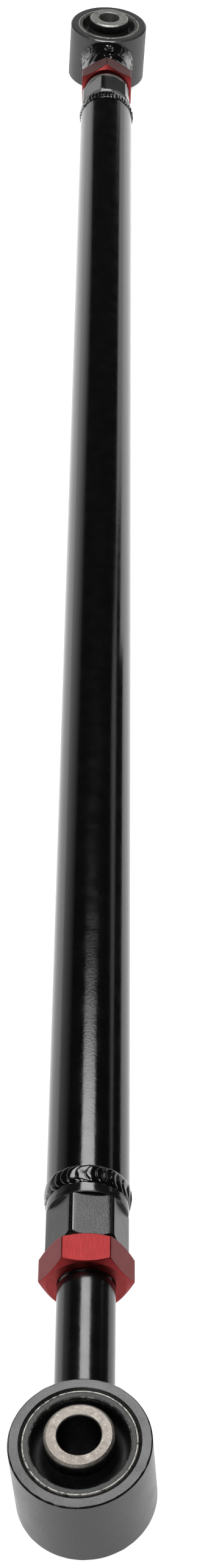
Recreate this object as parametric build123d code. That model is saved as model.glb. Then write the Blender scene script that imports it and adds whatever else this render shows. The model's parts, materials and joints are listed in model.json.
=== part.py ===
from build123d import *
import os
from math import cos, radians, tan

# Adjustable control arm: a tube with a threaded bung welded into each end, and at each
# end a threaded eye shank with a jam nut and a bonded rubber bushing.
#
# Origin at the centre of the near bushing, +X along the arm to the far bushing, +Z along
# the near bushing's bore.  Each end is drawn as the near end, with X measured from its own
# eye centre towards the middle of the arm.  The far end is that drawing, mirrored.
# All sizes are millimetres.

# ---------------------------------------------------------------- driving dimensions
ARM_LENGTH = 1130.0          # eye centre to eye centre, screwed right in
FAR_EYE_TWIST = 6.76         # far bushing axis, turned about the arm's length, degrees

TUBE_OD = 34.9               # 1-3/8 in tube
TUBE_WALL = 3.05             # 0.120 in wall

THREAD_R = 11.08             # 7/8-14 thread, drawn as a plain cylinder at its crests
THREAD_CLEARANCE = 0.05      # radial, between a thread and its nut or bung
THREAD_BEYOND_NUT = 52.0     # thread that reaches past the jam nut, into the bung
THREAD_END_CHAMFER = 1.0

NUT_ACROSS_FLATS = 34.0
NUT_THICKNESS = 14.0
NUT_FACE_R = 16.35           # flat ring left by the 30 degree chamfers
NUT_MOUTH_CHAMFER = 0.7
BLANK_MARGIN = 0.5           # turned blank left outside a hexagon's corners

BUNG_BAR_R = 17.2            # round bar that the bung is cut from
BUNG_ACROSS_FLATS = 30.6
BUNG_FLAT_LENGTH = 19.8      # wrench flats, from the outer end
BUNG_COLLAR_LENGTH = 7.2     # round collar behind the flats
BUNG_CONE_LENGTH = 3.6       # slightly coned part of the collar, next to the flats
BUNG_CONE_DEPTH = 0.5
BUNG_BOSS_R = 15.6           # coned round end that the far bung has beyond its flats
FAR_BUNG_BOSS_LENGTH = 4.2
BUNG_SPIGOT_LENGTH = 27.0    # part that plugs into the tube
BUNG_END_CHAMFER = 1.6
SPIGOT_CLEARANCE = 0.03

TUBE_WELD_CREST_R = 18.5
TUBE_WELD_ON_COLLAR = 3.0    # how far the bead laps over the bung's collar
TUBE_WELD_ON_TUBE = 6.3      # and over the tube

BARREL_LENGTH = 38.5
BARREL_CHAMFER = 0.5
SLEEVE_OD = 27.4
SLEEVE_LENGTH = 48.6
SLEEVE_CHAMFER = 1.25
SLEEVE_MOUTH_CHAMFER = 0.3
SLEEVE_CLEARANCE = 0.03      # radial, rubber to sleeve
SHELL_CLEARANCE = 0.01       # radial, bushing shell to eye
SHELL_EDGE = 0.4
RUBBER_LIP_DEPTH = 2.6       # rubber below the shell's end, at its outside edge
RUBBER_GROOVE_DEPTH = 8.5    # deepest point of the rubber's groove
RUBBER_COLLAR_DEPTH = 1.2    # rubber below the shell's end, where it meets the sleeve
RUBBER_SKIN = 0.5            # rubber left on the walls beside the groove's bottom

EYES = {
    "near": dict(barrel_r=27.25, eye_bore_r=22.0, lead_in=1.2, shell_wall=2.9, sleeve_bore_r=8.35),
    "far": dict(barrel_r=26.7, eye_bore_r=21.6, lead_in=0.4, shell_wall=3.0, sleeve_bore_r=7.25),
}

# distances from the eye centre towards the middle of the arm
NEAR_SHANK_R = 11.9          # smooth shank
NEAR_SHOULDER = 81.0         # end of the smooth shank
NEAR_NUT = 81.8              # outer face of the jam nut
NEAR_BUNG_GAP = 0.2          # jam nut to bung
NEAR_WELD_TOE = 33.2
NEAR_WELD_R = 16.2           # where the weld meets the eye

FAR_NECK_R = 16.2            # forged neck, beside the jam nut
FAR_NECK_ROOT_R = 17.2       # and where it meets the eye
FAR_SHOULDER = 48.0
FAR_SHOULDER_CHAMFER = 0.8
FAR_NUT = 48.4
FAR_BUNG_GAP = 3.2           # the far jam nut stands a little off its bung
FAR_WELD_TOE = 38.0
FAR_WELD_R = 19.0

EYE_WELD_LAP = 1.5           # how far an eye weld laps round the eye's side
EYE_WELD_HOLLOW = 0.28       # height of its hollow face half-way, as a share of its leg

# roll of each hexagon about the arm: the angle from +Z towards +Y of one flat's normal
HEX_ROLL = {"near_nut": -3.2, "near_bung": -11.0, "far_nut": 25.8, "far_bung": -24.7}

NEAR_BUNG = NEAR_NUT + NUT_THICKNESS + NEAR_BUNG_GAP
FAR_BUNG = FAR_NUT + NUT_THICKNESS + FAR_BUNG_GAP
NEAR_TUBE = NEAR_BUNG + BUNG_FLAT_LENGTH + BUNG_COLLAR_LENGTH
FAR_TUBE = FAR_BUNG + FAR_BUNG_BOSS_LENGTH + BUNG_FLAT_LENGTH + BUNG_COLLAR_LENGTH


# ---------------------------------------------------------------- helpers
def turned_about_x(*edges):
    """A solid turned about the arm's axis, from an outline of edges in X and radius."""
    return revolve(make_face(list(edges)), Axis.X)


def turned_outline_x(points):
    return turned_about_x(Polyline(*points, close=True))


def turned_outline_z(points):
    """A solid turned about the bushing's axis, from an outline of radius and height."""
    return revolve(Plane.XZ * make_face(Polyline(*points, close=True)), Axis.Z)


def hex_prism(across_flats, start, length, roll):
    """A hexagonal prism along the arm, with one flat's normal at the roll from +Z to +Y."""
    corner_r = across_flats / 2 / cos(radians(30))
    outline = Rot(Z=30 - roll) * RegularPolygon(corner_r, 6)
    end = Plane(origin=(start, 0, 0), x_dir=(0, 0, 1), z_dir=(1, 0, 0))
    return extrude(end * outline, amount=length)


def place_far(solid):
    """The far end is drawn like the near one, then mirrored and set at the arm's end."""
    return Pos(ARM_LENGTH, 0, 0) * mirror(solid, about=Plane.YZ)


def place_far_eye(solid):
    return Pos(ARM_LENGTH, 0, 0) * Rot(X=FAR_EYE_TWIST) * solid


def barrel_cutter(radius):
    return Cylinder(radius, 4 * BARREL_LENGTH)


# ---------------------------------------------------------------- bar of the arm
def main_tube():
    start = NEAR_TUBE
    end = ARM_LENGTH - FAR_TUBE
    outer = TUBE_OD / 2
    inner = outer - TUBE_WALL
    return turned_outline_x([(start, inner), (start, outer), (end, outer), (end, inner)])


def bung(start, roll, boss_length=0.0):
    """Threaded bung: hexagon milled on round bar, a collar, and a spigot inside the tube."""
    flats_start = start + boss_length
    flats_end = flats_start + BUNG_FLAT_LENGTH
    collar_end = flats_end + BUNG_COLLAR_LENGTH
    spigot_end = collar_end + BUNG_SPIGOT_LENGTH
    bore_r = THREAD_R + THREAD_CLEARANCE
    spigot_r = TUBE_OD / 2 - TUBE_WALL - SPIGOT_CLEARANCE
    head = turned_outline_x([
        (flats_start, bore_r),
        (flats_start, BUNG_BAR_R - BUNG_END_CHAMFER),
        (flats_start + BUNG_END_CHAMFER, BUNG_BAR_R),
        (flats_end, BUNG_BAR_R),
        (flats_end, bore_r),
    ])
    solid = head & hex_prism(BUNG_ACROSS_FLATS, flats_start, BUNG_FLAT_LENGTH, roll)
    solid += turned_outline_x([
        (flats_end, bore_r),
        (flats_end, BUNG_BAR_R - BUNG_CONE_DEPTH),
        (flats_end + BUNG_CONE_LENGTH, BUNG_BAR_R),
        (collar_end, BUNG_BAR_R),
        (collar_end, spigot_r),
        (spigot_end - BUNG_END_CHAMFER, spigot_r),
        (spigot_end, spigot_r - BUNG_END_CHAMFER),
        (spigot_end, bore_r),
    ])
    if boss_length:
        solid += turned_outline_x([
            (start, bore_r),
            (start, BUNG_BOSS_R - BUNG_CONE_DEPTH),
            (flats_start, BUNG_BOSS_R),
            (flats_start, bore_r),
        ])
    mouth = turned_outline_x([
        (start, bore_r),
        (start, bore_r + NUT_MOUTH_CHAMFER),
        (start + NUT_MOUTH_CHAMFER, bore_r),
    ])
    return solid - mouth


def tube_weld(collar_end):
    """Weld bead over the joint between a bung's collar and the tube."""
    start = (collar_end - TUBE_WELD_ON_COLLAR, BUNG_BAR_R)
    crest = (collar_end + (TUBE_WELD_ON_TUBE - TUBE_WELD_ON_COLLAR) / 2, TUBE_WELD_CREST_R)
    toe = (collar_end + TUBE_WELD_ON_TUBE, TUBE_OD / 2)
    crown = ThreePointArc(start, crest, toe)
    under = Polyline(toe, (collar_end, TUBE_OD / 2), (collar_end, BUNG_BAR_R), start)
    return turned_about_x(crown, under)


def jam_nut(start, roll):
    """Hexagonal jam nut with 30 degree chamfers on both faces."""
    end = start + NUT_THICKNESS
    bore_r = THREAD_R + THREAD_CLEARANCE
    mouth_r = bore_r + NUT_MOUTH_CHAMFER
    corner_r = NUT_ACROSS_FLATS / 2 / cos(radians(30)) + BLANK_MARGIN
    slope = (corner_r - NUT_FACE_R) * tan(radians(30))
    blank = turned_outline_x([
        (start, mouth_r),
        (start, NUT_FACE_R),
        (start + slope, corner_r),
        (end - slope, corner_r),
        (end, NUT_FACE_R),
        (end, mouth_r),
        (end - NUT_MOUTH_CHAMFER, bore_r),
        (start + NUT_MOUTH_CHAMFER, bore_r),
    ])
    return blank & hex_prism(NUT_ACROSS_FLATS, start, NUT_THICKNESS, roll)


# ---------------------------------------------------------------- eye shanks
def thread_end(nut_start):
    return nut_start + NUT_THICKNESS + THREAD_BEYOND_NUT


def near_shank():
    """Smooth round shank, coped to the eye, with the thread beyond its shoulder."""
    tip = thread_end(NEAR_NUT)
    step = NEAR_SHANK_R - THREAD_R
    blank = turned_outline_x([
        (0, 0),
        (0, NEAR_SHANK_R),
        (NEAR_SHOULDER - step, NEAR_SHANK_R),
        (NEAR_SHOULDER, THREAD_R),
        (tip - THREAD_END_CHAMFER, THREAD_R),
        (tip, THREAD_R - THREAD_END_CHAMFER),
        (tip, 0),
    ])
    return blank - barrel_cutter(EYES["near"]["barrel_r"])


def far_shank():
    """Short thick neck, coped to the eye, with the thread beyond it."""
    tip = thread_end(FAR_NUT)
    blank = turned_outline_x([
        (0, 0),
        (0, FAR_NECK_ROOT_R),
        (FAR_WELD_TOE, FAR_NECK_ROOT_R),
        (FAR_SHOULDER - FAR_SHOULDER_CHAMFER, FAR_NECK_R),
        (FAR_SHOULDER, FAR_NECK_R - FAR_SHOULDER_CHAMFER),
        (FAR_SHOULDER, THREAD_R),
        (tip - THREAD_END_CHAMFER, THREAD_R),
        (tip, THREAD_R - THREAD_END_CHAMFER),
        (tip, 0),
    ])
    return blank - barrel_cutter(EYES["far"]["barrel_r"])


def eye_weld(shank_r, toe, root_r, barrel_r):
    """Hollow-sided fillet weld between a shank and its eye."""
    root = barrel_r - EYE_WELD_LAP
    inner = barrel_r / 2
    middle_r = shank_r + (root_r - shank_r) * EYE_WELD_HOLLOW
    face = ThreePointArc((root, root_r), ((root + toe) / 2, middle_r), (toe, shank_r))
    back = Polyline((toe, shank_r), (inner, shank_r), (inner, root_r), (root, root_r))
    return turned_about_x(face, back) - barrel_cutter(barrel_r)


# ---------------------------------------------------------------- bushings
def eye_housing(barrel_r, eye_bore_r, lead_in, **_):
    """Short tube welded across the shank, that the bushing is pressed into."""
    top = BARREL_LENGTH / 2
    outline = [
        (eye_bore_r, -top + lead_in),
        (eye_bore_r + lead_in, -top),
        (barrel_r - BARREL_CHAMFER, -top),
        (barrel_r, -top + BARREL_CHAMFER),
        (barrel_r, top - BARREL_CHAMFER),
        (barrel_r - BARREL_CHAMFER, top),
        (eye_bore_r + lead_in, top),
        (eye_bore_r, top - lead_in),
    ]
    return turned_outline_z(outline)


def bush_shell(eye_bore_r, shell_wall, **_):
    """Steel outer shell of the bonded bushing."""
    top = BARREL_LENGTH / 2
    outer = eye_bore_r - SHELL_CLEARANCE
    inner = eye_bore_r - shell_wall
    outline = [
        (inner, -top),
        (outer - SHELL_EDGE, -top),
        (outer, -top + SHELL_EDGE),
        (outer, top - SHELL_EDGE),
        (outer - SHELL_EDGE, top),
        (inner, top),
    ]
    return turned_outline_z(outline)


def bush_rubber(eye_bore_r, shell_wall, **_):
    """Rubber between shell and sleeve, with a round-bottomed groove in each end."""
    top = BARREL_LENGTH / 2
    outer = eye_bore_r - shell_wall
    inner = SLEEVE_OD / 2 + SLEEVE_CLEARANCE
    groove_r = (outer - inner) / 2 - RUBBER_SKIN
    middle = (outer + inner) / 2
    bottom = top - RUBBER_GROOVE_DEPTH
    half = [
        Line((inner, 0), (inner, top - RUBBER_COLLAR_DEPTH)),
        Line((inner, top - RUBBER_COLLAR_DEPTH), (middle - groove_r, bottom + groove_r)),
        ThreePointArc(
            (middle - groove_r, bottom + groove_r),
            (middle, bottom),
            (middle + groove_r, bottom + groove_r),
        ),
        Line((middle + groove_r, bottom + groove_r), (outer, top - RUBBER_LIP_DEPTH)),
        Line((outer, top - RUBBER_LIP_DEPTH), (outer, 0)),
        Line((outer, 0), (inner, 0)),
    ]
    upper = revolve(Plane.XZ * make_face(half), Axis.Z)
    return upper + mirror(upper, about=Plane.XY)


def inner_sleeve(sleeve_bore_r, **_):
    """Steel inner sleeve, which the frame bolt clamps end to end."""
    top = SLEEVE_LENGTH / 2
    outer = SLEEVE_OD / 2
    mouth = SLEEVE_MOUTH_CHAMFER
    outline = [
        (sleeve_bore_r, -top + mouth),
        (sleeve_bore_r + mouth, -top),
        (outer - SLEEVE_CHAMFER, -top),
        (outer, -top + SLEEVE_CHAMFER),
        (outer, top - SLEEVE_CHAMFER),
        (outer - SLEEVE_CHAMFER, top),
        (sleeve_bore_r + mouth, top),
        (sleeve_bore_r, top - mouth),
    ]
    return turned_outline_z(outline)


# ---------------------------------------------------------------- assembly
def near_end_parts():
    barrel_r = EYES["near"]["barrel_r"]
    return {
        "near_bung": bung(NEAR_BUNG, HEX_ROLL["near_bung"]),
        "near_bung_weld": tube_weld(NEAR_TUBE),
        "near_jam_nut": jam_nut(NEAR_NUT, HEX_ROLL["near_nut"]),
        "near_shank": near_shank(),
        "near_eye_weld": eye_weld(NEAR_SHANK_R, NEAR_WELD_TOE, NEAR_WELD_R, barrel_r),
    }


def far_end_parts():
    barrel_r = EYES["far"]["barrel_r"]
    drawn = {
        "far_bung": bung(FAR_BUNG, HEX_ROLL["far_bung"], FAR_BUNG_BOSS_LENGTH),
        "far_bung_weld": tube_weld(FAR_TUBE),
        "far_jam_nut": jam_nut(FAR_NUT, HEX_ROLL["far_nut"]),
    }
    placed = {node: place_far(solid) for node, solid in drawn.items()}
    placed["far_shank"] = place_far_eye(mirror(far_shank(), about=Plane.YZ))
    weld = eye_weld(FAR_NECK_ROOT_R, FAR_WELD_TOE, FAR_WELD_R, barrel_r)
    placed["far_eye_weld"] = place_far_eye(mirror(weld, about=Plane.YZ))
    return placed


def eye_parts(side):
    eye = EYES[side]
    drawn = {
        "eye_housing": eye_housing(**eye),
        "bush_shell": bush_shell(**eye),
        "bush_rubber": bush_rubber(**eye),
        "inner_sleeve": inner_sleeve(**eye),
    }
    place = place_far_eye if side == "far" else (lambda solid: solid)
    return {f"{side}_{name}": place(solid) for name, solid in drawn.items()}


def build():
    nodes = {"main_tube": main_tube()}
    nodes.update(near_end_parts())
    nodes.update(far_end_parts())
    for side in EYES:
        nodes.update(eye_parts(side))
    return nodes


os.makedirs("parts", exist_ok=True)
for node, solid in build().items():
    export_step(solid, f"parts/{node}.step")
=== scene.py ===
import json
import random
from math import atan2, ceil, cos, hypot, pi, radians, remainder, sin, sqrt, tan

import bmesh
import bpy
from mathutils import Matrix, Vector

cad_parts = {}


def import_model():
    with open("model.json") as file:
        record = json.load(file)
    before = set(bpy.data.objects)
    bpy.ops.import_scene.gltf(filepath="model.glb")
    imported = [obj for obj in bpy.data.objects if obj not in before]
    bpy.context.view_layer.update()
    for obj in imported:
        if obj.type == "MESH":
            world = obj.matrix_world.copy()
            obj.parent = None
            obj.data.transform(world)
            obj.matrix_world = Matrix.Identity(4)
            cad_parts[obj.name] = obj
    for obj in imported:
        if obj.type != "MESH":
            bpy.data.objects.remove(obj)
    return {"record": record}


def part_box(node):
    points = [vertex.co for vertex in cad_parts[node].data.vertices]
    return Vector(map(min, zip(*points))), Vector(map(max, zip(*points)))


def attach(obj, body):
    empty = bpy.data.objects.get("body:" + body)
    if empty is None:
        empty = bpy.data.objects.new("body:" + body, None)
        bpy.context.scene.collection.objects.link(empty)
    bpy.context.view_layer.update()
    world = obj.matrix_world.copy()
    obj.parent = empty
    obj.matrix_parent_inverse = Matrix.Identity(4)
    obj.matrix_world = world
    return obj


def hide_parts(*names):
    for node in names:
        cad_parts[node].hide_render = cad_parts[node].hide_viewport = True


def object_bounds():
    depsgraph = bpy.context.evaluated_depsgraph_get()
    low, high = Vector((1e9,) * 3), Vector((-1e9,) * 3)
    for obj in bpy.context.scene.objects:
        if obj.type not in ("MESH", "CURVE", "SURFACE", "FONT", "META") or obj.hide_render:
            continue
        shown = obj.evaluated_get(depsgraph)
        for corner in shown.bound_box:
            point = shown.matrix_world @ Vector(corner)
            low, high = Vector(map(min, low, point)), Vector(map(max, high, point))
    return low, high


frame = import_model()
CAD_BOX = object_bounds()
RECORD = frame["record"]

# Everything is in metres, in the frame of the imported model: origin at the centre of the near
# bushing, +X along the arm, +Z along the near bushing's bore.  MM turns millimetres to metres.
MM = 0.001

# ---------------------------------------------------------------- sizes the boxes don't give
# A value under "near" or "far" is for that end of the arm.
NUT_ACROSS_FLATS = 34.0 * MM
NUT_FACE_R = 16.35 * MM
NUT_CHAMFER = radians(30)
BUNG_ACROSS_FLATS = 30.6 * MM
BUNG_FLAT_LENGTH = 19.8 * MM
BUNG_COLLAR_LENGTH = 7.2 * MM
BUNG_CHAMFER = 1.6 * MM
CONE_LENGTH = {"near": 1.7 * MM, "far": 1.2 * MM}
CONE_DEPTH = 0.35 * MM
TOOL_PITCH = 0.30 * MM
TOOL_RIDGE = {"near": 0.002 * MM, "far": 0.078 * MM}
BUNG_BOSS_R = 15.6 * MM
BOSS_LENGTH = {"near": 0.0, "far": 4.2 * MM}
TUBE_WALL = 3.05 * MM
THREAD_R = 11.08 * MM
THREAD_PITCH = 25.4 / 14 * MM
THREAD_DEPTH = 0.6134 * THREAD_PITCH
THREAD_GAP = 0.05 * MM
MOUTH_CHAMFER = 0.7 * MM
SHOULDER = {"near": 81.0 * MM, "far": 48.0 * MM}
# Where one flat of each hexagon faces, in degrees from +Z towards +Y.
HEX_ROLL = {"near_nut": -3.2, "near_bung": -11.0, "far_nut": 25.8, "far_bung": -24.7}
NEAR_SHANK_R = 11.9 * MM
FAR_NECK_R = 16.2 * MM
FAR_BARREL_R = 26.7 * MM
EYE_BORE_R = {"near": 22.0 * MM, "far": 21.6 * MM}
# Chamfer of a housing's outer rim: height, width over height, and how much its size varies.
RIM = {"near": 0.5 * MM, "far": 0.75 * MM}
RIM_FLARE = {"near": 1.0, "far": 1.5}
RIM_NICKS = {"near": 0.26, "far": 0.08}
LEAD_IN = {"near": 1.2 * MM, "far": 0.4 * MM}
# The shell's burr: how far in it reaches, and its tone, which is partly a painted glint on the edge.
BURR_AND_GLINT = {"near": (0.80 * MM, 0.52), "far": (1.15 * MM, 0.34)}
SHELL_WALL = {"near": 2.9 * MM, "far": 3.0 * MM}
# Beads: the number of scales in a tube's bead and their height.  Eye welds: the radius of the
# shank, the radius where the weld ends on the barrel, and the height of its scales.
BEAD_SCALES = {"near": 30, "far": 44}
BEAD_TALL = {"near": 0.62 * MM, "far": 0.80 * MM}
EYE_WELD = {"near": (NEAR_SHANK_R, 16.2 * MM, 0.35 * MM), "far": (17.2 * MM, 19.0 * MM, 0.20 * MM)}
# Bare steel: light and dark tone of a sleeve's end face, and the tone of its bore; the near bore's
# near-black tone is painted shade.
BORE_SHADE_AND_TONE = {"near": (0.012, 0.012, 0.012), "far": (0.30, 0.30, 0.285)}
SLEEVE_TONES = {
    "near": ((0.340, 0.308, 0.276), (0.240, 0.218, 0.196)),
    "far": ((0.480, 0.480, 0.455), (0.330, 0.330, 0.315)),
}


# ---------------------------------------------------------------- the two ends
class End:
    """One end of the arm, drawn with x from its own eye's centre towards the arm's middle."""

    def __init__(self, side):
        mount = next(m for m in RECORD["mounts"] if m["name"] == side + "_bore")
        axis = mount["axis"]
        self.side = side
        self.x = mount["pos_m"][0]
        self.way = 1 if side == "near" else -1
        self.twist = -atan2(axis[1], axis[2])
        self.bolt_r = mount["dims"]["r_mm"] * MM

    def reach(self, node):
        """The node's extent along the arm, as distances from this eye's centre."""
        lo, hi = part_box(f"{self.side}_{node}")
        return sorted([(lo.x - self.x) * self.way, (hi.x - self.x) * self.way])

    def bolt_axis(self):
        return (0.0, -sin(self.twist), cos(self.twist))

    def place(self, point, turned):
        """A point of this end's drawing, in the frame.  turned ones follow the eye's twist."""
        x, y, z = point
        if turned and self.twist:
            y, z = y * cos(self.twist) - z * sin(self.twist), y * sin(self.twist) + z * cos(self.twist)
        return Vector((self.x + self.way * x, y, z))


ENDS = {side: End(side) for side in ("near", "far")}
FLOOR_Z = CAD_BOX[0].z
TUBE_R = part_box("main_tube")[1].z
BAR_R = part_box("near_bung")[1].z
BARREL_R = {"near": -CAD_BOX[0].x, "far": FAR_BARREL_R}
# Where the far neck and its weld have a rough patch on top, and how rough it is.
PATCH_ANGLE = radians(5) - ENDS["far"].twist
PATCH_HEIGHT = 0.80 * MM


# ---------------------------------------------------------------- mesh helpers
def mesh_from_rings(name, rings, loop=True, caps=False):
    """A mesh through rings of points.  loop joins the last ring to the first one."""
    bm = bmesh.new()
    rows = [[bm.verts.new(p) for p in ring] for ring in rings]
    count = len(rings[0])
    pairs = list(zip(rows, rows[1:]))
    if loop:
        pairs.append((rows[-1], rows[0]))
    for a, b in pairs:
        for i in range(count):
            j = (i + 1) % count
            bm.faces.new((a[i], a[j], b[j], b[i]))
    if caps:
        for row in (rows[0], rows[-1]):
            middle = bm.verts.new(sum((v.co for v in row), Vector()) / count)
            for i in range(count):
                bm.faces.new((row[i], row[(i + 1) % count], middle))
    bmesh.ops.recalc_face_normals(bm, faces=bm.faces)
    mesh = bpy.data.meshes.new(name)
    bm.to_mesh(mesh)
    bm.free()
    return mesh


def stand_for(node, mesh, material, sharp=30):
    """The mesh becomes a piece that stands for a CAD node, on its body."""
    mesh.shade_smooth()
    mesh.set_sharp_from_angle(angle=radians(sharp))
    mesh.materials.append(material)
    piece = bpy.data.objects.new(node + "_fine", mesh)
    bpy.context.scene.collection.objects.link(piece)
    bodies = RECORD["behaviour"]["bodies"]
    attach(piece, next(body for body, members in bodies.items() if node in members))
    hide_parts(node)
    return piece


def soften(outline, cut, steps=3, loop=True):
    """The outline with its corners cut back by up to the given length and rounded.

    A point just outside each rounded corner keeps the shading of the long faces flat.
    """
    most_of_edge = 0.36
    hold = 1.3
    out = []
    last = len(outline) - 1
    for i, corner in enumerate(outline):
        if not loop and i in (0, last):
            out.append(corner)
            continue
        sides = []
        holds = []
        for other in (outline[i - 1], outline[(i + 1) % len(outline)]):
            dx, dy = other[0] - corner[0], other[1] - corner[1]
            share = min(cut / max(hypot(dx, dy), 1e-9), most_of_edge)
            sides.append((corner[0] + dx * share, corner[1] + dy * share))
            holds.append((corner[0] + dx * share * hold, corner[1] + dy * share * hold))
        out.append(holds[0])
        for k in range(steps + 1):
            t = k / steps
            a, b, c = (1 - t) ** 2, 2 * t * (1 - t), t * t
            out.append(tuple(a * sides[0][n] + b * corner[n] + c * sides[1][n] for n in (0, 1)))
        out.append(holds[1])
    return out


def around_arm(end, angles, outline_at, turned=False):
    """Rings about the arm's axis.  An angle runs from +Z to +Y; the outline is x and radius."""
    rings = []
    for angle in angles:
        ring = [(x, r * sin(angle), r * cos(angle)) for x, r in outline_at(angle)]
        rings.append([end.place(p, turned) for p in ring])
    return rings


def around_bolt(end, angles, outline_at):
    """Rings about an eye's bolt axis.  The outline is radius and height."""
    rings = []
    for angle in angles:
        ring = [(r * cos(angle), r * sin(angle), z) for r, z in outline_at(angle)]
        rings.append([end.place(p, True) for p in ring])
    return rings


def turn(count):
    return [2 * pi * i / count for i in range(count)]


class Wobble:
    """A smooth uneven curve round a circle, made of a few seeded waves, from about -1 to 1."""

    def __init__(self, seed, waves, fastest):
        rng = random.Random(seed)
        self.waves = [
            (rng.randint(1, fastest), rng.uniform(0, 2 * pi), rng.uniform(0.5, 1))
            for _ in range(waves)
        ]
        self.total = sum(w[2] for w in self.waves)

    def __call__(self, angle):
        return 1.6 * sum(a * sin(n * angle + p) for n, p, a in self.waves) / self.total


class Lumps:
    """A smooth uneven field over an angle and a length, made of seeded waves, about -1 to 1."""

    def __init__(self, seed, waves, fastest, length):
        rng = random.Random(seed)
        self.waves = [
            (rng.randint(-fastest, fastest), rng.uniform(-1, 1) * 2 * pi / length, rng.uniform(0, 2 * pi))
            for _ in range(waves)
        ]

    def __call__(self, angle, x):
        return 0.8 * sum(sin(n * angle + k * x + p) for n, k, p in self.waves) / sqrt(len(self.waves))


def smoothstep(low, high, value):
    t = min(max((value - low) / (high - low), 0.0), 1.0)
    return t * t * (3 - 2 * t)


# ---------------------------------------------------------------- materials
class Paint:
    """A node material built round one Principled shader."""

    def __init__(self, name, **constants):
        self.material = bpy.data.materials.new(name)
        self.material.use_nodes = True
        self.tree = self.material.node_tree
        self.shader = self.tree.nodes["Principled BSDF"]
        self.place = self.node("ShaderNodeTexCoord").outputs["Object"]
        for key, value in constants.items():
            self.shader.inputs[key.replace("_", " ")].default_value = value

    def node(self, kind, **settings):
        made = self.tree.nodes.new(kind)
        for key, value in settings.items():
            setattr(made, key, value)
        return made

    def link(self, out, into):
        self.tree.links.new(out, into)

    def stretched(self, scale):
        mapping = self.node("ShaderNodeMapping")
        mapping.inputs["Scale"].default_value = scale
        self.link(self.place, mapping.inputs["Vector"])
        return mapping.outputs["Vector"]

    def noise(self, scale, detail=3.0, rough=0.55, where=None, distortion=0.0):
        made = self.node("ShaderNodeTexNoise")
        made.inputs["Scale"].default_value = scale
        made.inputs["Detail"].default_value = detail
        made.inputs["Roughness"].default_value = rough
        made.inputs["Distortion"].default_value = distortion
        self.link(where or self.place, made.inputs["Vector"])
        return made.outputs["Fac"]

    def along(self, direction):
        """Distance from the origin along a direction."""
        made = self.node("ShaderNodeVectorMath", operation="DOT_PRODUCT")
        self.link(self.place, made.inputs[0])
        made.inputs[1].default_value = direction
        return made.outputs["Value"]

    def facing(self, direction):
        """How far the surface faces a direction of the part's own frame, -1 to 1."""
        made = self.node("ShaderNodeVectorMath", operation="DOT_PRODUCT")
        self.link(self.node("ShaderNodeTexCoord").outputs["Normal"], made.inputs[0])
        made.inputs[1].default_value = direction
        return made.outputs["Value"]

    def radius(self, centre, axis):
        """Distance from an axis through a point."""
        away = self.node("ShaderNodeVectorMath", operation="SUBTRACT")
        self.link(self.place, away.inputs[0])
        away.inputs[1].default_value = centre
        cross = self.node("ShaderNodeVectorMath", operation="CROSS_PRODUCT")
        self.link(away.outputs["Vector"], cross.inputs[0])
        cross.inputs[1].default_value = axis
        length = self.node("ShaderNodeVectorMath", operation="LENGTH")
        self.link(cross.outputs["Vector"], length.inputs[0])
        return length.outputs["Value"]

    def cells(self, scale):
        made = self.node("ShaderNodeTexVoronoi")
        made.inputs["Scale"].default_value = scale
        self.link(self.place, made.inputs["Vector"])
        return made.outputs["Distance"]

    def spread(self, value, low, high, to_low=0.0, to_high=1.0):
        made = self.node("ShaderNodeMapRange")
        made.interpolation_type = "SMOOTHSTEP"
        for key, number in (("From Min", low), ("From Max", high), ("To Min", to_low), ("To Max", to_high)):
            made.inputs[key].default_value = number
        self.link(value, made.inputs["Value"])
        return made.outputs["Result"]

    def math(self, operation, a, b):
        made = self.node("ShaderNodeMath", operation=operation)
        for socket, value in zip(made.inputs, (a, b)):
            if isinstance(value, (int, float)):
                socket.default_value = value
            else:
                self.link(value, socket)
        return made.outputs["Value"]

    def mix(self, factor, a, b):
        made = self.node("ShaderNodeMix", data_type="RGBA")
        self.link(factor, made.inputs["Factor"])
        for socket, value in ((made.inputs["A"], a), (made.inputs["B"], b)):
            if isinstance(value, tuple):
                socket.default_value = (*value, 1.0)
            else:
                self.link(value, socket)
        return made.outputs["Result"]

    def colour(self, value):
        self.link(value, self.shader.inputs["Base Color"])

    def roughness(self, value):
        self.link(value, self.shader.inputs["Roughness"])

    def metal(self, value):
        self.link(value, self.shader.inputs["Metallic"])

    def bump(self, height, distance, strength=1.0):
        made = self.node("ShaderNodeBump")
        made.inputs["Strength"].default_value = strength
        made.inputs["Distance"].default_value = distance
        self.link(height, made.inputs["Height"])
        if self.shader.inputs["Normal"].is_linked:
            self.link(self.shader.inputs["Normal"].links[0].from_socket, made.inputs["Normal"])
        self.link(made.outputs["Normal"], self.shader.inputs["Normal"])


def powder_coat(name, gloss, grain, tone, speck, speckle_scale=3300):
    """Black powder coat: orange peel, a fine speckle of lighter grain, and a few dust specks."""
    paint = Paint(name, IOR=1.5)
    peel = paint.noise(750, 2.0, 0.5)
    fine = paint.noise(4200, 2.0, 0.6)
    patches = paint.noise(110, 4.0, 0.6)
    speckle = paint.spread(paint.noise(speckle_scale, 1.0), 0.50, 0.74)
    cloudy = paint.math("MULTIPLY", speckle, paint.spread(patches, 0.25, 0.7, 0.45, 1.0))
    black = tuple(tone * c for c in (1.0, 1.0, 1.03))
    grey = tuple(speck * c for c in (1.0, 1.02, 0.97))
    base = paint.mix(cloudy, black, grey)
    dust = paint.spread(paint.cells(260), 0.035, 0.07, 1.0, 0.0)
    some = paint.spread(paint.noise(90, 1.0), 0.66, 0.70)
    paint.colour(paint.mix(paint.math("MULTIPLY", dust, some), base, (0.10, 0.10, 0.095)))
    worn = paint.spread(patches, 0.3, 0.75, gloss, gloss + 0.06)
    paint.roughness(paint.math("ADD", worn, paint.spread(fine, 0.4, 0.75, 0.0, grain)))
    paint.bump(peel, 0.06 * MM, 0.4)
    paint.bump(fine, 0.015 * MM, 0.6)
    return paint


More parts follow.
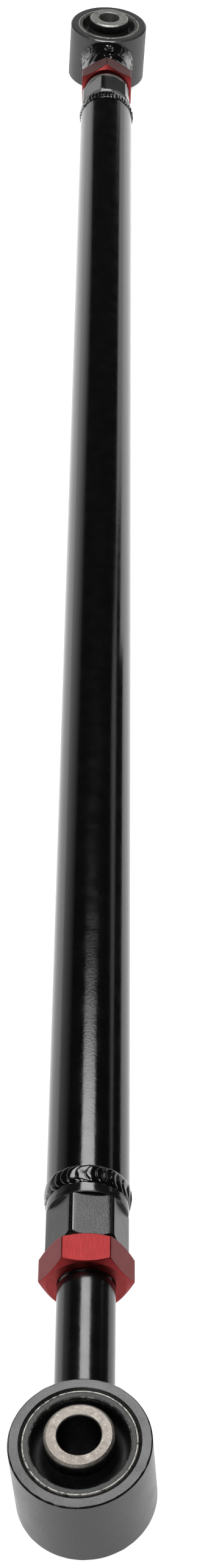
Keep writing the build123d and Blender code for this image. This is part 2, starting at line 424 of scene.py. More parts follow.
def polish(paint, where, drop):
    """Makes the coat glossier by up to the drop in roughness where the mask is 1."""
    before = paint.shader.inputs["Roughness"].links[0].from_socket
    paint.roughness(paint.math("SUBTRACT", before, paint.math("MULTIPLY", where, drop)))


def bung_coat(end, gloss, pit_depth, worn):
    """Coat of a bung: satin and pitted on the flats, glossy on the bar and on steep walls.

    worn is the colour that shows through on the turned boss and collar; on the far bung its light grey is
    partly wear and partly a painted highlight, the band of reflected light on the turned surfaces.
    """
    paint = powder_coat(f"powder_coat_{end.side}_bung", gloss, 0.08, 0.0035, 0.0300, 2600)
    start, _ = end.reach("bung")
    boss_end = start + BOSS_LENGTH[end.side]
    collar_start = boss_end + BUNG_FLAT_LENGTH + CONE_LENGTH[end.side]
    from_eye = paint.math("MULTIPLY", paint.math("SUBTRACT", paint.along((1, 0, 0)), end.x), end.way)
    turned = paint.math("MAXIMUM", paint.spread(from_eye, boss_end + 0.05 * MM, boss_end - 0.15 * MM),
                        paint.spread(from_eye, collar_start - 0.3 * MM, collar_start))
    on_bar = paint.spread(paint.radius((0, 0, 0), (1, 0, 0)), BAR_R - 0.30 * MM, BAR_R - 0.12 * MM)
    walls = paint.spread(paint.math("ABSOLUTE", paint.facing((1, 0, 0)), 0.0), 0.35, 0.6)
    glossy = paint.math("MAXIMUM", on_bar, walls)
    polish(paint, glossy, gloss - 0.07)
    pits = paint.math("MULTIPLY", paint.noise(1300, 3.0, 0.7), paint.math("SUBTRACT", 1.0, glossy))
    paint.bump(pits, pit_depth, 0.7)
    # Painted highlight, in part: on the far bung the light worn colour here stands in for reflected light
    # on the turned boss and collar.
    scuffs_and_highlight = paint.math("MULTIPLY", turned, paint.spread(paint.noise(700, 3.0), 0.30, 0.62, 0.65, 1.0))
    paint.colour(paint.mix(scuffs_and_highlight, paint.shader.inputs["Base Color"].links[0].from_socket, worn))
    return paint


def eye_coat(end, gloss, tone, speck, speckle_scale):
    """Coat of an eye: satin and grainy on the face and barrel, glossy on the rims' chamfers."""
    paint = powder_coat(f"powder_coat_{end.side}_eye", gloss, 0.10, tone, speck, speckle_scale)
    steep = paint.math("ABSOLUTE", paint.facing(end.bolt_axis()), 0.0)
    outside = paint.spread(paint.radius((end.x, 0, 0), end.bolt_axis()), BARREL_R[end.side] - 2.2 * MM,
                           BARREL_R[end.side] - 1.8 * MM)
    chamfer = paint.math("MULTIPLY", paint.spread(steep, 0.15, 0.35), paint.spread(steep, 0.985, 0.95))
    polish(paint, paint.math("MULTIPLY", outside, chamfer), gloss - 0.10)
    grit = paint.noise(speckle_scale / 2, 3.0, 0.65)
    paint.bump(grit, 0.05 * MM, 0.6)
    return paint


def red_anodised(name, haze, edge_tint):
    """Machined and anodised aluminium: fine cutter lines, turned faces lighter than the flats."""
    paint = Paint(name, Metallic=1.0, Coat_Weight=haze, Coat_Roughness=0.35)
    paint.shader.inputs["Specular Tint"].default_value = (1.0, edge_tint, edge_tint, 1.0)
    lines = paint.noise(1.0, 4.0, 0.65, paint.stretched((240, 3200, 3200)))
    cloud = paint.noise(330, 4.0, 0.6)
    grain = paint.noise(3600, 2.0)
    on_face = paint.spread(paint.math("ABSOLUTE", paint.facing((1, 0, 0)), 0.0), 0.25, 0.5)
    flats = paint.mix(paint.spread(cloud, 0.3, 0.7), (0.100, 0.0066, 0.0074), (0.124, 0.0088, 0.0096))
    flats = paint.mix(paint.spread(lines, 0.40, 0.80), flats, (0.155, 0.0145, 0.0150))
    faces = paint.mix(paint.spread(cloud, 0.3, 0.7), (0.185, 0.0150, 0.0155), (0.235, 0.0200, 0.0205))
    red = paint.mix(on_face, flats, faces)
    paint.colour(paint.mix(paint.spread(grain, 0.58, 0.80), red, (0.235, 0.0380, 0.0380)))
    paint.roughness(paint.spread(cloud, 0.3, 0.7, 0.37, 0.43))
    paint.bump(lines, 0.012 * MM, 0.4)
    return paint


def dark_steel(end):
    """Phosphated end of the bushing's shell, with a bright burr round its outer edge that is partly a
    painted glint.
    """
    paint = Paint(f"{end.side}_shell_steel", IOR=1.5)
    coarse = paint.noise(420, 4.0, 0.65)
    fine = paint.noise(2600, 3.0, 0.65)
    radius = paint.radius((end.x, 0, 0), end.bolt_axis())
    outer = EYE_BORE_R[end.side]
    inner = outer - SHELL_WALL[end.side]
    wide, tone = BURR_AND_GLINT[end.side]
    # Painted highlight, in part: the burr's bright ring also stands in for the glint on the edge.
    burr = paint.math("MULTIPLY", paint.spread(radius, outer - wide, outer - wide + 0.3 * MM),
                      paint.spread(paint.noise(520, 4.0, 0.7), 0.38, 0.52))
    lip = paint.math("MULTIPLY", paint.spread(radius, inner + 0.55 * MM, inner + 0.25 * MM),
                     paint.spread(paint.noise(460, 4.0, 0.7), 0.50, 0.66))
    steel = paint.mix(paint.spread(coarse, 0.35, 0.65), (0.016, 0.0178, 0.016), (0.044, 0.047, 0.043))
    steel = paint.mix(paint.spread(fine, 0.52, 0.78), steel, (0.11, 0.114, 0.102))
    edge = paint.math("MAXIMUM", burr, paint.math("MULTIPLY", lip, 0.45))
    paint.colour(paint.mix(edge, steel, tuple(tone * c for c in (1.0, 0.96, 0.88))))
    paint.metal(paint.math("MULTIPLY", edge, 0.6))
    paint.roughness(paint.spread(coarse, 0.3, 0.7, 0.42, 0.6))
    paint.bump(coarse, 0.10 * MM, 0.7)
    paint.bump(fine, 0.05 * MM, 0.6)
    return paint


def moulded_rubber(name, bloom, size):
    """Moulded rubber, matt with a soft sheen, and a grainy trace of bloom."""
    paint = Paint(name, IOR=1.5)
    mottle = paint.noise(260, 4.0, 0.6)
    fine = paint.noise(size, 2.0)
    base = paint.mix(paint.spread(mottle, 0.4, 0.75), (0.0028, 0.0028, 0.003), (0.0075, 0.0075, 0.007))
    paint.colour(paint.mix(paint.spread(fine, 0.52, 0.78), base, (bloom, bloom, 0.96 * bloom)))
    paint.roughness(paint.spread(mottle, 0.3, 0.7, 0.62, 0.75))
    paint.bump(fine, 0.03 * MM, 0.4)
    return paint


def sleeve_steel(end, half):
    """Bare cut steel on the end faces; the sleeve's sides are painted dark as shade, and the bore has its
    own tone, near black as painted shade on the near sleeve.
    """
    paint = Paint(f"{end.side}_sleeve_steel", Metallic=1.0)
    grain = paint.noise(1700, 4.0, 0.7)
    mottle = paint.noise(420, 4.0, 0.6)
    height = paint.along(end.bolt_axis())
    on_face = paint.spread(paint.math("ABSOLUTE", height, 0.0), half - 1.1 * MM, half - 0.5 * MM)
    light, dark = SLEEVE_TONES[end.side]
    face = paint.mix(paint.spread(mottle, 0.3, 0.7), dark, light)
    bright = tuple(1.6 * c for c in light)
    stained = tuple(0.45 * c for c in dark)
    face = paint.mix(paint.spread(grain, 0.50, 0.72), face, bright)
    face = paint.mix(paint.spread(paint.noise(900, 4.0, 0.7), 0.56, 0.80), face, stained)
    # Painted shade: the sleeve's sides are dark because they lie in shade down the groove.
    side = paint.mix(paint.spread(mottle, 0.3, 0.7), (0.010, 0.010, 0.0105), (0.030, 0.029, 0.028))
    radius = paint.radius((end.x, 0, 0), end.bolt_axis())
    in_bore = paint.spread(radius, end.bolt_r + 0.8 * MM, end.bolt_r + 0.4 * MM)
    # The near bore's near-black tone is painted shade.
    side = paint.mix(in_bore, side, BORE_SHADE_AND_TONE[end.side])
    paint.colour(paint.mix(on_face, side, face))
    paint.roughness(paint.spread(mottle, 0.3, 0.7, 0.48, 0.62))
    paint.bump(mottle, 0.05 * MM, 0.5)
    paint.bump(grain, 0.04 * MM, 0.7)
    return paint


TUBE_COAT = powder_coat("powder_coat_tube", 0.09, 0.05, 0.0016, 0.0070).material
SHANK_COAT = powder_coat("powder_coat_shank", 0.14, 0.07, 0.0022, 0.0100).material
BUNG_COAT = {
    "near": bung_coat(ENDS["near"], 0.25, 0.11 * MM, (0.006, 0.006, 0.006)).material,
    # The far bung's light grey worn colour is partly wear and partly a painted highlight of the turned boss
    # and collar.
    "far": bung_coat(ENDS["far"], 0.15, 0.05 * MM, (0.085, 0.085, 0.082)).material,
}
EYE_COAT = {
    "near": eye_coat(ENDS["near"], 0.27, 0.0050, 0.0420, 3200).material,
    "far": eye_coat(ENDS["far"], 0.42, 0.0230, 0.0640, 2100).material,
}
BEAD_COAT = powder_coat("powder_coat_bead", 0.08, 0.03, 0.0020, 0.0050).material
RED = {
    "near": red_anodised("near_red_anodised", 0.10, 0.84).material,
    "far": red_anodised("far_red_anodised", 0.24, 1.0).material,
}
RUBBER = {
    "near": moulded_rubber("near_rubber", 0.006, 3800).material,
    "far": moulded_rubber("far_rubber", 0.075, 1600).material,
}


# ---------------------------------------------------------------- hexagons and the bar of the arm
def hexagon(across_flats, roll, sharpness=110):
    """Radius by angle of a hexagon with slightly eased corners."""
    normals = [radians(roll + 60 * k) for k in range(6)]

    def radius(angle):
        total = sum(max(cos(angle - n), 0.0) ** sharpness for n in normals)
        return across_flats / 2 / total ** (1 / sharpness)

    return radius


def hexagon_angles(roll, corners, flat_steps):
    """Angles round a hexagon, close together at the given corner angles from a flat's middle."""
    found = []
    flat = 24
    fine_step = 0.35
    for k in range(6):
        middle = roll + 60 * k
        found += [middle + flat * (i / flat_steps - 1) for i in range(2 * flat_steps + 1)]
        for corner in corners:
            found += [middle + corner + fine_step * (i - 4) for i in range(9)]
    return [radians(a) for a in sorted(set(round(a % 360, 4) for a in found))]


def jam_nut(side):
    end = ENDS[side]
    start, stop = end.reach("jam_nut")
    roll = HEX_ROLL[side + "_nut"]
    radius = hexagon(NUT_ACROSS_FLATS, roll)
    bore = THREAD_R + THREAD_GAP
    mouth = bore + MOUTH_CHAMFER

    def outline(angle):
        r = radius(angle)
        slope = (r - NUT_FACE_R) * tan(NUT_CHAMFER)
        return soften([
            (start, mouth), (start, NUT_FACE_R), (start + slope, r), (stop - slope, r),
            (stop, NUT_FACE_R), (stop, mouth), (stop - MOUTH_CHAMFER, bore), (start + MOUTH_CHAMFER, bore),
        ], 0.22 * MM)

    angles = hexagon_angles(roll, (30,), 8)
    mesh = mesh_from_rings(f"{side}_jam_nut", around_arm(end, angles, outline))
    stand_for(f"{side}_jam_nut", mesh, RED[side])


def bung(side):
    """Bung: an optional coned boss, milled flats, and a collar that is coned next to the flats."""
    end = ENDS[side]
    start, stop = end.reach("bung")
    roll = HEX_ROLL[side + "_bung"]
    hexagonal = hexagon(BUNG_ACROSS_FLATS, roll)
    boss = BOSS_LENGTH[side]
    flats_start = start + boss
    flats_end = flats_start + BUNG_FLAT_LENGTH
    collar_end = flats_end + BUNG_COLLAR_LENGTH
    bore = THREAD_R + THREAD_GAP
    spigot = TUBE_R - TUBE_WALL
    step = 0.22 * MM
    blend = 0.05 * MM

    def ridged(first, last):
        """Fine tool ridges between two points of a turned surface."""
        count = round((last[0] - first[0]) / TOOL_PITCH)
        ridges = []
        for i in range(1, 2 * count):
            t = i / (2 * count)
            x, r = (p + (q - p) * t for p, q in zip(first, last))
            ridges.append((x, r - TOOL_RIDGE[side] * (i % 2)))
        return [first, *ridges, last]

    def outline(angle):
        h = hexagonal(angle)
        r = (h + BAR_R - sqrt((h - BAR_R) ** 2 + blend ** 2)) / 2
        chamfer = max(0.25 * MM, r - (BAR_R - BUNG_CHAMFER))
        front = [(start, bore + MOUTH_CHAMFER), (start, r - chamfer)]
        if boss:
            lip = (start + 0.3 * MM, BUNG_BOSS_R - 0.15 * MM)
            front[1:] = [(start, lip[1] - 0.3 * MM), *ridged(lip, (flats_start, BUNG_BOSS_R))]
            front.append((flats_start + 0.1 * MM, r - chamfer))
        flats = soften([*front, (flats_start + chamfer, r), (flats_end, r)], 0.2 * MM, loop=False)
        cone = (flats_end + step, BAR_R - CONE_DEPTH)
        land = ridged((cone[0] + CONE_LENGTH[side], BAR_R), (collar_end, BAR_R))
        back = soften([
            (collar_end, BAR_R), (collar_end, spigot), (stop - BUNG_CHAMFER, spigot),
            (stop, spigot - BUNG_CHAMFER), (stop, bore), (start + MOUTH_CHAMFER, bore),
        ], 0.2 * MM, loop=False)
        return flats + [cone] + land[:-1] + back

    land = 30 - atan2(sqrt(BAR_R ** 2 - (BUNG_ACROSS_FLATS / 2) ** 2), BUNG_ACROSS_FLATS / 2) * 180 / pi
    angles = hexagon_angles(roll, (30 - land, 30 + land), 8)
    mesh = mesh_from_rings(f"{side}_bung", around_arm(end, angles, outline))
    stand_for(f"{side}_bung", mesh, BUNG_COAT[side], sharp=20)


def main_tube():
    end = ENDS["near"]
    lo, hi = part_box("main_tube")
    inner = TUBE_R - TUBE_WALL
    stretch = 48
    edge = soften([(lo.x, inner), (lo.x, TUBE_R)], 0.3 * MM, loop=False)
    outer = [(lo.x + (hi.x - lo.x) * i / stretch, TUBE_R) for i in range(1, stretch)]
    bore = [(x, inner) for x, _ in reversed(outer)]
    outline = edge + outer + [(hi.x, TUBE_R), (hi.x, inner)] + bore
    mesh = mesh_from_rings("main_tube", around_arm(end, turn(160), lambda angle: outline))
    stand_for("main_tube", mesh, TUBE_COAT)


# ---------------------------------------------------------------- welds
def ripple(phase):
    """Height of one overlapping weld scale, 0 to 1, steep at its back edge."""
    f = phase % 1.0
    back_edge = 0.16
    drop = 0.95
    return smoothstep(0.0, back_edge, f) * (1 - drop * f * f)


class Scales:
    """The run of scales along a weld: how far along each angle is, in scales, and their height."""

    def __init__(self, seed, count, way):
        rng = random.Random(seed)
        self.count = count
        self.way = way
        self.drift = Wobble(seed, 5, 6)
        self.heights = [rng.uniform(0.45, 1.0) for _ in range(count)]

    def height(self, angle, across, bend):
        """across runs from -1 at one toe to 1 at the other; bend is the arc's depth in scales."""
        along = self.way * angle / (2 * pi) * self.count + 0.55 * self.drift(angle)
        phase = along - bend * (1 - sqrt(1 - 0.94 * min(across * across, 1.0)))
        return ripple(phase) * self.heights[int(phase // 1) % self.count]


def tube_weld(side):
    """Bead of overlapping scales between a bung's collar and the tube."""
    end = ENDS[side]
    start, stop = end.reach("bung_weld")
    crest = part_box(side + "_bung_weld")[1].z
    middle = (start + stop) / 2
    half = (stop - start) / 2
    scales = Scales(side + " bead", BEAD_SCALES[side], -1)
    lumps = Lumps(side + " bead lumps", 9, 24, 5 * MM)
    edge = Wobble(side + " toe", 6, 23)
    tall = BEAD_TALL[side]
    rows = 30

    def outline(angle):
        points = []
        width = half * (0.95 + 0.05 * edge(angle))
        for i in range(rows + 1):
            s = 2 * i / rows - 1
            base = BAR_R + (TUBE_R - BAR_R) * (s + 1) / 2
            dome = (1 - s * s) ** 0.8
            rise = (scales.height(angle, s, 1.5) + 0.16 * lumps(angle, s * half)) * tall
            r = base + (crest - tall - base) * dome + rise * (1 - s ** 6) - 0.06 * MM * abs(s) ** 8
            points.append((middle + s * width, min(r, crest)))
        under = BAR_R - 0.8 * MM
        return points + [(points[-1][0], under), (points[0][0], under)]

    mesh = mesh_from_rings(f"{side}_bung_weld", around_arm(end, turn(720), outline))
    stand_for(f"{side}_bung_weld", mesh, BEAD_COAT, sharp=60)


def patch_share(angle, radius):
    """How far an angle on the far neck is inside its rough patch, 0 to 1."""
    core, reach = 1.0 * MM, 5.5 * MM
    away = abs(remainder(angle - PATCH_ANGLE, 2 * pi)) * radius
    return 1 - smoothstep(core, reach, away)


def eye_weld(side):
    """Fillet of scales in the corner between a shank and its eye's side.

    The far one has a rough patch on top; the near one is ground low there.
    """
    end = ENDS[side]
    barrel_r = BARREL_R[side]
    shank_r, root_r, tall = EYE_WELD[side]
    toe = end.reach("eye_weld")[1]
    scales = Scales(side + " eye", 30, 1)
    field = Lumps(side + " eye lumps", 14, 22, 4 * MM)
    grit = Lumps(side + " eye grit", 18, 44, 2.2 * MM)
    edge = Wobble(side + " eye toe", 6, 17)
    rows = 26
    sink = 1.0 * MM
    lowered, shortened = 2.3 * MM, 1.4 * MM
    patch_start, patch_full = 28 * MM, 32 * MM

    def on_barrel(r, angle, inside=0.0):
        return sqrt((barrel_r - inside) ** 2 - (r * sin(angle)) ** 2)

    def outline(angle):
        foot = toe - 0.3 * MM - (on_barrel(shank_r, 0) - on_barrel(shank_r, angle)) * 0.8
        foot += 0.3 * MM * edge(angle)
        top = root_r - 0.15 * MM + 0.15 * MM * edge(angle + 1)
        if side == "near":
            ground = 1 - smoothstep(radians(16), radians(46), abs(remainder(angle, 2 * pi)))
            top -= lowered * ground
            foot -= shortened * ground
        a = (on_barrel(top, angle) - 0.05 * MM, top)
        c = (foot, shank_r - 0.03 * MM)
        corner = (on_barrel(shank_r, angle), shank_r)
        chord = ((a[0] + c[0]) / 2, (a[1] + c[1]) / 2)
        b = (0.45 * corner[0] + 0.55 * chord[0], 0.45 * corner[1] + 0.55 * chord[1])
        length = hypot(c[0] - a[0], c[1] - a[1])
        out = ((a[1] - c[1]) / length, (c[0] - a[0]) / length)
        points = []
        rough = PATCH_HEIGHT * patch_share(angle, shank_r) if side == "far" else 0.0
        for i in range(rows + 1):
            t = i / rows
            s = 2 * t - 1
            weights = ((1 - t) ** 2, 2 * t * (1 - t), t * t)
            x, r = (sum(w * p[n] for w, p in zip(weights, (a, b, c))) for n in (0, 1))
            rise = (scales.height(angle, s, 1.2) - 0.3 + 0.8 * field(angle, x)) * tall
            rise += rough * smoothstep(patch_start, patch_full, x) * (grit(angle, x) - 0.2)
            rise *= 1 - s ** 4
            points.append((x + out[0] * rise, r + out[1] * rise))
        inner = shank_r - sink
        return points + [(foot - sink, inner), (on_barrel(inner, angle, sink), inner),
                         (on_barrel(top, angle, sink), top - 0.2 * MM)]

    mesh = mesh_from_rings(f"{side}_eye_weld", around_arm(end, turn(540), outline, True))
    stand_for(f"{side}_eye_weld", mesh, BEAD_COAT, sharp=60)


# ---------------------------------------------------------------- shanks
def thread_radius(x, angle, first, last):
    """Radius on a 60 degree thread that fades in at its first and last turns."""
    phase = (x / THREAD_PITCH - angle / (2 * pi)) % 1.0
    from_crest = abs(phase - 0.5) * 2
    cut = smoothstep(0.1, 0.8, from_crest) * THREAD_DEPTH
    fade = smoothstep(first, first + THREAD_PITCH, x) * smoothstep(0, 0.3 * MM, last - x)
    return THREAD_R - cut * fade


class Shank:
    """A shank's mesh, built as rings with a radius and an x for every angle."""

    def __init__(self, side, count, turned):
        self.end = ENDS[side]
        self.angles = turn(count)
        self.turned = turned
        self.barrel_r = BARREL_R[side]
        self.shoulder = SHOULDER[side]
        self.start, self.tip = self.end.reach("shank")
        self.rings = []

    def ring(self, radius_at, x_at):
        row = []
        for angle in self.angles:
            x = x_at(angle)
            r = radius_at(x, angle)
            row.append(self.end.place((x, r * sin(angle), r * cos(angle)), self.turned))
        self.rings.append(row)

    def ring_in_barrel(self, radius, sink):
        """The shank's first ring, which follows the barrel's side just inside it."""
        inside = self.barrel_r - sink
        self.ring(lambda x, a: radius, lambda a: sqrt(inside ** 2 - (radius * sin(a)) ** 2))

    def thread(self):
        """Rings from the shoulder to the chamfered tip, 12 to a pitch."""
        first, last = self.shoulder + 0.1 * MM, self.tip - 0.05 * MM
        chamfer = 1.0 * MM
        count = ceil((last - first) / THREAD_PITCH * 12)
        for i in range(count + 1):
            x = first + (last - first) * i / count
            end_r = THREAD_R - max(0.0, x - (self.tip - chamfer))
            self.ring(lambda x, a, m=end_r: min(thread_radius(x, a, self.shoulder, self.tip), m),
                      lambda a, x=x: x)

    def finish(self, coat):
        node = self.end.side + "_shank"
        stand_for(node, mesh_from_rings(node, self.rings, loop=False, caps=True), coat, sharp=40)


def near_shank():
    """Smooth round shank with a rounded shoulder, and the thread beyond it."""
    shank = Shank("near", 96, False)
    step = NEAR_SHANK_R - THREAD_R
    shank.ring_in_barrel(NEAR_SHANK_R, 1.2 * MM)
    plain_end = shank.shoulder - step
    for i in range(1, 14):
        x = shank.start + (plain_end - shank.start) * i / 14
        if x > shank.barrel_r:
            shank.ring(lambda x, a: NEAR_SHANK_R, lambda a, x=x: x)
    for i in range(5):
        x, r = plain_end + step * i / 4, NEAR_SHANK_R - step * (i / 4) ** 2
        shank.ring(lambda _, a, r=r: r, lambda a, x=x: x)
    shank.thread()
    shank.finish(SHANK_COAT)


def far_shank():
    """Short neck with a lumpy coat and a rough patch on top, and the thread beyond it."""
    shank = Shank("far", 192, True)
    root_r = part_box("far_shank")[1].z
    edge = 0.8 * MM
    toe = 38.0 * MM
    lumps = Lumps("neck", 14, 20, 5 * MM)
    lump_height = 0.17 * MM
    grit = Lumps("neck grit", 18, 44, 2.2 * MM)
    shank.ring_in_barrel(root_r, 1.0 * MM)
    neck_end = shank.shoulder - edge
    steps = 52
    for i in range(steps + 1):
        x = shank.barrel_r + (neck_end - shank.barrel_r) * i / steps
        r = root_r + (FAR_NECK_R - root_r) * smoothstep(toe, neck_end, x)
        calm = 1 - smoothstep(shank.shoulder - 4 * MM, neck_end, x)

        def lumpy(x, a, r=r, calm=calm):
            rough = PATCH_HEIGHT * patch_share(a, root_r)
            return r + calm * (lump_height * (lumps(a, x) - 0.6) + rough * (grit(a, x) - 0.6))

        shank.ring(lumpy, lambda a, x=x: x)
    for i in range(1, 5):
        r = FAR_NECK_R - edge * (i / 4) ** 2
        shank.ring(lambda x, a, r=r: r, lambda a, i=i: neck_end + edge * i / 4)
    shank.ring(lambda x, a: THREAD_R + 0.3 * MM, lambda a: shank.shoulder + 0.02 * MM)
    shank.thread()
    shank.finish(BEAD_COAT)


# ---------------------------------------------------------------- eyes and bushings
def eye_housing(side, half):
    end = ENDS[side]
    barrel_r = BARREL_R[side]
    bore = EYE_BORE_R[side]
    lead = LEAD_IN[side]
    nicks = Wobble(side + " rim", 9, 41)
    flare = RIM_FLARE[side]

    def outline(angle):
        rim = RIM[side] * (1 + RIM_NICKS[side] * nicks(angle))
        low = RIM[side] * (1 + RIM_NICKS[side] * nicks(angle + 2))
        return soften([
            (bore, -half + lead), (bore + lead, -half),
            (barrel_r - low * flare, -half), (barrel_r, -half + low),
            (barrel_r, half - rim), (barrel_r - rim * flare, half),
            (bore + lead, half), (bore, half - lead),
        ], 0.28 * RIM[side])

    mesh = mesh_from_rings(f"{side}_eye_housing", around_bolt(end, turn(256), outline))
    stand_for(f"{side}_eye_housing", mesh, EYE_COAT[side])


def bush_shell(side, half):
    """Shell ring with a ragged burr at its outer edge and a dished end face."""
    end = ENDS[side]
    outer = EYE_BORE_R[side] - 0.01 * MM
    inner = EYE_BORE_R[side] - SHELL_WALL[side]
    ragged = Wobble(side + " burr", 14, 60)

    def outline(angle):
        burr = 0.05 * MM * (1 + ragged(angle))
        shelf = half - 0.16 * MM
        upper = [
            (outer, half - 0.4 * MM), (outer - 0.25 * MM, half - 0.12 * MM + burr / 2),
            (outer - 0.5 * MM, half - 0.02 * MM - burr), (outer - 0.95 * MM, shelf - burr),
            (inner + 0.5 * MM, shelf - 0.1 * MM), (inner, shelf - 0.45 * MM),
        ]
        lower = [(r, -z) for r, z in reversed(upper)]
        return soften(upper + lower, 0.12 * MM, 2)

    mesh = mesh_from_rings(f"{side}_bush_shell", around_bolt(end, turn(360), outline))
    stand_for(f"{side}_bush_shell", mesh, dark_steel(end).material)


def bush_rubber(side, half, sleeve_r):
    """Rubber with a dished, round-bottomed groove in each end."""
    end = ENDS[side]
    outer = EYE_BORE_R[side] - SHELL_WALL[side]
    inner = sleeve_r + 0.03 * MM
    lip = half - 2.6 * MM
    collar = half - 1.2 * MM
    floor = half - 8.5 * MM
    groove = (outer - inner) / 2 - 0.5 * MM
    middle = (outer + inner) / 2
    lumps = Wobble(side + " rubber", 5, 9)
    steps = 12

    def outline(angle):
        sag = 0.12 * MM * lumps(angle)
        bottom = [
            (middle + groove * cos(pi * i / steps), floor + groove - groove * sin(pi * i / steps) + sag)
            for i in range(steps + 1)
        ]
        upper = soften([(outer, lip), *bottom, (inner, collar)], 0.25 * MM, 2, loop=False)
        lower = [(r, -z) for r, z in reversed(upper)]
        return upper + lower

    mesh = mesh_from_rings(f"{side}_bush_rubber", around_bolt(end, turn(192), outline))
    stand_for(f"{side}_bush_rubber", mesh, RUBBER[side], sharp=50)


def inner_sleeve(side, half, sleeve_r):
    end = ENDS[side]
    bore = end.bolt_r
    chamfer = 1.25 * MM
    mouth = 0.3 * MM
    burrs = Wobble(side + " sleeve", 12, 50)

    def outline(angle):
        cut = chamfer * (1 + 0.05 * burrs(angle))
        return soften([
            (bore, -half + mouth), (bore + mouth, -half), (sleeve_r - cut, -half), (sleeve_r, -half + cut),
            (sleeve_r, half - cut), (sleeve_r - cut, half), (bore + mouth, half), (bore, half - mouth),
        ], 0.12 * MM)

    mesh = mesh_from_rings(f"{side}_inner_sleeve", around_bolt(end, turn(240), outline))
    stand_for(f"{side}_inner_sleeve", mesh, sleeve_steel(end, half).material)


def build_object():
    main_tube()
    eye_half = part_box("near_eye_housing")[1].z
    sleeve_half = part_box("near_inner_sleeve")[1].z
    sleeve_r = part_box("near_inner_sleeve")[1].y
    for side in ENDS:
        jam_nut(side)
        bung(side)
        tube_weld(side)
        eye_housing(side, eye_half)
        bush_shell(side, eye_half)
        bush_rubber(side, eye_half, sleeve_r)
        inner_sleeve(side, sleeve_half, sleeve_r)
    near_shank()
    far_shank()
    eye_weld("near")
    eye_weld("far")


# ---------------------------------------------------------------- stage, light and camera
FLOOR_SIZE = 60.0
FLOOR_GLOW = 0.95
FLOOR_TONE = 0.4
# Share of open sky between which the floor goes from covered to open, and how far it looks.
COVERED = (0.09, 0.16)
COVER_REACH = 0.03
ROOM_GLOW = 0.015
WALL_TOP = 0.80
WALL_Y = 0.9
BACKDROP_X = 2.9


def emission_material(name, strength):
    """A glowing material of that strength, or of the strength that a builder function links."""
    material = bpy.data.materials.new(name)
    material.use_nodes = True
    tree = material.node_tree
    tree.nodes.clear()
    glow = tree.nodes.new("ShaderNodeEmission")
    out = tree.nodes.new("ShaderNodeOutputMaterial")
    tree.links.new(glow.outputs[0], out.inputs["Surface"])
    if callable(strength):
        tree.links.new(strength(tree), glow.inputs["Strength"])
    else:
        glow.inputs["Strength"].default_value = strength
    return material


def floor():
    """A pale floor out to the horizon.  It glows, except where something close covers it: there its glow
    and colour go dark, a painted contact shadow.
    """
    bpy.ops.mesh.primitive_plane_add(size=FLOOR_SIZE, location=(0.5, 0, FLOOR_Z))
    plane = bpy.context.object
    plane.name = "floor"
    paint = Paint("floor")
    paint.shader.inputs["Roughness"].default_value = 1.0
    paint.shader.inputs["Specular IOR Level"].default_value = 0.0
    paint.shader.inputs["Emission Color"].default_value = (1, 1, 1, 1)
    open_sky = paint.node("ShaderNodeAmbientOcclusion")
    open_sky.inputs["Distance"].default_value = COVER_REACH
    glow = paint.spread(open_sky.outputs["AO"], *COVERED, 0.0, FLOOR_GLOW)
    paint.link(glow, paint.shader.inputs["Emission Strength"])
    # Painted shadow: the floor's colour goes to black where something close covers it.
    tone = paint.mix(paint.spread(open_sky.outputs["AO"], *COVERED), (0.0,) * 3, (FLOOR_TONE,) * 3)
    paint.colour(tone)
    plane.data.materials.append(paint.material)


def reflection_only(obj):
    """A card that the camera doesn't see and that casts no shade: it only shows in gloss."""
    obj.visible_camera = False
    obj.visible_diffuse = False
    obj.visible_shadow = False


def card(name, corners, strength):
    mesh = bpy.data.meshes.new(name)
    mesh.from_pydata([Vector(c) for c in corners], [], [(0, 1, 2, 3)])
    mesh.materials.append(emission_material(name, strength))
    obj = bpy.data.objects.new(name, mesh)
    bpy.context.scene.collection.objects.link(obj)
    reflection_only(obj)


def left_glow(tree):
    """Strength of the left wall: brighter towards the far end, fading out towards its top."""
    split = tree.nodes.new("ShaderNodeSeparateXYZ")
    tree.links.new(tree.nodes.new("ShaderNodeNewGeometry").outputs["Position"], split.inputs[0])

    def calculate(operation, a, b):
        made = tree.nodes.new("ShaderNodeMath")
        made.operation = operation
        made.use_clamp = operation == "SUBTRACT"
        for value, socket in zip((a, b), made.inputs):
            if isinstance(value, float):
                socket.default_value = value
            else:
                tree.links.new(value, socket)
        return made.outputs["Value"]

    along = calculate("ADD", calculate("MULTIPLY", split.outputs["X"], 0.44), 0.26)
    lowered = calculate("ADD", split.outputs["Z"], calculate("MULTIPLY", split.outputs["X"], -0.12))
    fade = calculate("SUBTRACT", 0.87, calculate("MULTIPLY", lowered, 1.6))
    return calculate("MULTIPLY", along, fade)


def area_light(name, centre, aim, size, radiance):
    """A rectangular soft light of that radiance, with its long side along the arm."""
    data = bpy.data.lights.new(name, "AREA")
    data.shape = "RECTANGLE"
    data.size, data.size_y = size
    data.energy = radiance * pi * size[0] * size[1]
    obj = bpy.data.objects.new(name, data)
    bpy.context.scene.collection.objects.link(obj)
    back = (Vector(centre) - Vector(aim)).normalized()
    right = Vector((0, 1, 0)).cross(back).normalized()
    up = back.cross(right)
    obj.matrix_world = Matrix.Translation(centre) @ Matrix((right, up, back)).transposed().to_4x4()
    return obj


def fill_light():
    """Wide soft overhead light that shows in no reflection."""
    data = bpy.data.lights.new("fill", "SUN")
    data.energy = 1.7
    data.angle = radians(80)
    obj = bpy.data.objects.new("fill", data)
    obj.rotation_euler = (radians(-12), radians(-14), 0)
    obj.visible_glossy = False
    bpy.context.scene.collection.objects.link(obj)


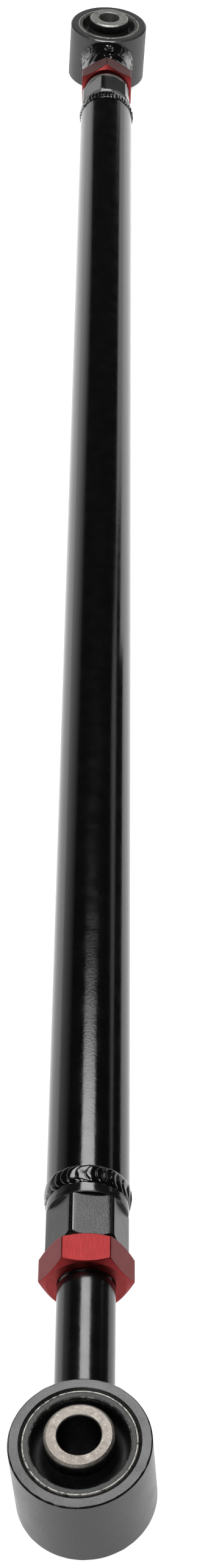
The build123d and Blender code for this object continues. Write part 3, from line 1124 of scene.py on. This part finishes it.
def world():
    """Dim room for reflections, and the floor's own white wherever the camera sees past it."""
    made = bpy.data.worlds.new("room")
    bpy.context.scene.world = made
    made.use_nodes = True
    tree = made.node_tree
    background = tree.nodes["Background"]
    path = tree.nodes.new("ShaderNodeLightPath")
    mix = tree.nodes.new("ShaderNodeMapRange")
    mix.inputs["To Min"].default_value = ROOM_GLOW
    mix.inputs["To Max"].default_value = 1.0
    tree.links.new(path.outputs["Is Camera Ray"], mix.inputs["Value"])
    tree.links.new(mix.outputs["Result"], background.inputs["Strength"])
    background.inputs["Color"].default_value = (1, 1, 1, 1)


def upright(a, b, low, high):
    """Corners of an upright card between two points of the plan, with a low and a high edge.

    An edge is one height, or the heights above the two points.
    """
    low, high = (edge if isinstance(edge, tuple) else (edge, edge) for edge in (low, high))
    return (*a, low[0]), (*b, low[1]), (*b, high[1]), (*a, high[0])


def stage():
    """Floor, room, lights, and the cards that show as soft shapes in the gloss."""
    floor()
    world()
    fill_light()
    area_light("overhead", (0.90, -0.07, 1.3), (0.90, -0.07, 0), (0.72, 0.80), 9.5)
    y, end = WALL_Y, BACKDROP_X
    card("left_wall", upright((0.2, y), (end, y), FLOOR_Z, WALL_TOP), left_glow)
    card("right_wall", upright((1.75, -y), (end, -y), FLOOR_Z, 0.34), 1.1)
    card("right_strip", upright((0.8, -1.0), (1.8, -1.0), (0.28, 0.30), (0.40, 0.68)), 0.7)
    card("behind", upright((-0.9, 0.15), (-0.9, 0.8), 1.1, 1.7), 14.0)
    card("backdrop", upright((end, -y), (end, y), FLOOR_Z, 0.50), 1.25)
    card("low_dark", upright((-0.1, -0.15), (0.62, -0.15), FLOOR_Z, 0.035), 0.02)


def camera():
    """The photograph's viewpoint: above and beyond the near end, looking down along the arm."""
    place = Vector((-0.47427, -0.06046, 0.81515))
    target = Vector((0.37230, -0.00451, 0))
    lean = 0.012955
    forward = (target - place).normalized()
    right = forward.cross(Vector((1, 0, 0))).normalized()
    up = right.cross(forward)
    right, up = right * cos(lean) + up * sin(lean), up * cos(lean) - right * sin(lean)
    data = bpy.data.cameras.new("camera")
    data.lens = 55.24
    data.sensor_width = 36.0
    data.clip_start = 0.01
    data.clip_end = 200.0
    obj = bpy.data.objects.new("camera", data)
    obj.matrix_world = Matrix.Translation(place) @ Matrix((right, up, -forward)).transposed().to_4x4()
    bpy.context.scene.collection.objects.link(obj)
    bpy.context.scene.camera = obj


build_object()
stage()
camera()
bpy.context.scene.view_settings.view_transform = "Standard"
